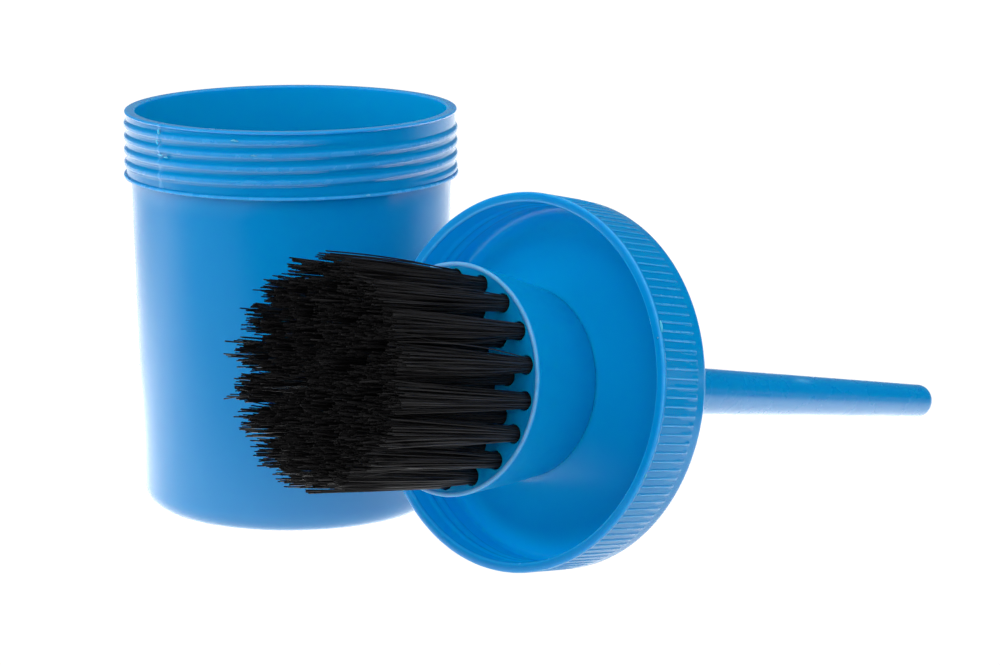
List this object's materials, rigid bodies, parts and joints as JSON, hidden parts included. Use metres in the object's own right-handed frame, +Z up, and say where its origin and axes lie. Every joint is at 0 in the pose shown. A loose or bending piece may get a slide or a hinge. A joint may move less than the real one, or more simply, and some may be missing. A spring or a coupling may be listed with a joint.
{
  "type": "screw-top brush pot",
  "caption": "Round plastic pot with a threaded neck, open, and its knurled screw lid lying beside it with a long handle and a bristle brush fixed inside.",
  "frame": {"origin": "centre of the pot's flat base, on the surface it stands on", "axes": "+Z up along the pot's axis; +X the level direction in which the lid's handle points; the lid lies on the -Y side of the pot"},
  "size_m": [0.2598, 0.198, 0.1128],
  "materials": {
    "pot_plastic": "moulded blue polyethylene, lightly glossy",
    "cap_plastic": "moulded blue polyethylene, lightly glossy",
    "block_plastic": "moulded blue polyethylene with a worn face edge",
    "handle_plastic": "moulded blue polyethylene, lightly glossy",
    "bristle_nylon": "stiff black nylon filament"
  },
  "bodies": {
    "pot_body": {"pot": "pot_plastic"},
    "lid_body": {"cap": "cap_plastic", "brush_block": "block_plastic", "handle": "handle_plastic", "tuft_01": "bristle_nylon", "tuft_02": "bristle_nylon", "tuft_03": "bristle_nylon", "tuft_04": "bristle_nylon", "tuft_05": "bristle_nylon", "tuft_06": "bristle_nylon", "tuft_07": "bristle_nylon", "tuft_08": "bristle_nylon", "tuft_09": "bristle_nylon", "tuft_10": "bristle_nylon", "tuft_11": "bristle_nylon", "tuft_12": "bristle_nylon", "tuft_13": "bristle_nylon", "tuft_14": "bristle_nylon", "tuft_15": "bristle_nylon", "tuft_16": "bristle_nylon", "tuft_17": "bristle_nylon", "tuft_18": "bristle_nylon", "tuft_19": "bristle_nylon", "tuft_20": "bristle_nylon", "tuft_21": "bristle_nylon", "tuft_22": "bristle_nylon", "tuft_23": "bristle_nylon", "tuft_24": "bristle_nylon", "tuft_25": "bristle_nylon", "tuft_26": "bristle_nylon", "tuft_27": "bristle_nylon", "tuft_28": "bristle_nylon", "tuft_29": "bristle_nylon", "tuft_30": "bristle_nylon", "tuft_31": "bristle_nylon", "tuft_32": "bristle_nylon", "tuft_33": "bristle_nylon", "tuft_34": "bristle_nylon", "tuft_35": "bristle_nylon", "tuft_36": "bristle_nylon", "tuft_37": "bristle_nylon", "tuft_38": "bristle_nylon", "tuft_39": "bristle_nylon", "tuft_40": "bristle_nylon", "tuft_41": "bristle_nylon", "tuft_42": "bristle_nylon", "tuft_43": "bristle_nylon"}
  },
  "joints": [
    {"name": "lid_lift", "type": "slide", "parent": "pot_body", "child": "lid_body", "axis": [0, 0, 1], "range_m": [0, 0.13]}
  ]
}
